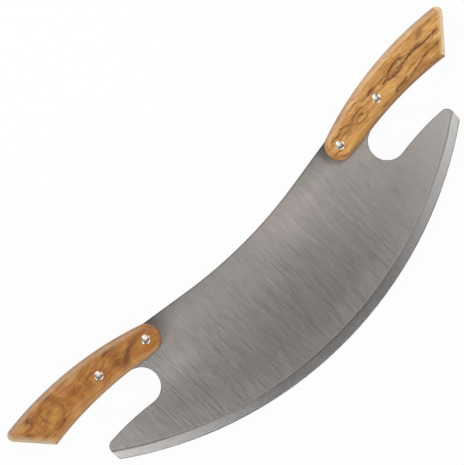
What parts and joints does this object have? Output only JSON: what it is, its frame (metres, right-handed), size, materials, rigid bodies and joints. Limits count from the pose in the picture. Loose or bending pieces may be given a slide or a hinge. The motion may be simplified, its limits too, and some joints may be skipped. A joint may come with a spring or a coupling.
{
  "type": "rocking pizza knife",
  "caption": "Long curved steel rocking blade for cutting pizza, with pointed horns below finger notches and a riveted wooden handle at each end.",
  "frame": {"origin": "middle of the knife's length and depth, on the surface that it lies on: the height of the back rivet domes", "axes": "+X along the blade towards the right-hand handle, +Y from the cutting edge to the spine and handles, +Z out of the front face"},
  "size_m": [0.4428, 0.1292, 0.0187],
  "materials": {
    "blade_steel": "satin brushed square to the blade's length, ground bevel",
    "left_wood": "oiled olive wood, reddish and cloudy",
    "right_wood": "oiled olive wood, golden with dark veins",
    "rivet_metal": "polished domes"
  },
  "bodies": {
    "root": {"blade": "blade_steel", "left_front_scale": "left_wood", "left_back_scale": "left_wood", "right_front_scale": "right_wood", "right_back_scale": "right_wood", "left_inner_rivet_stud": "rivet_metal", "left_inner_rivet_tube": "rivet_metal", "left_outer_rivet_stud": "rivet_metal", "left_outer_rivet_tube": "rivet_metal", "right_inner_rivet_stud": "rivet_metal", "right_inner_rivet_tube": "rivet_metal", "right_outer_rivet_stud": "rivet_metal", "right_outer_rivet_tube": "rivet_metal"}
  },
  "joints": []
}
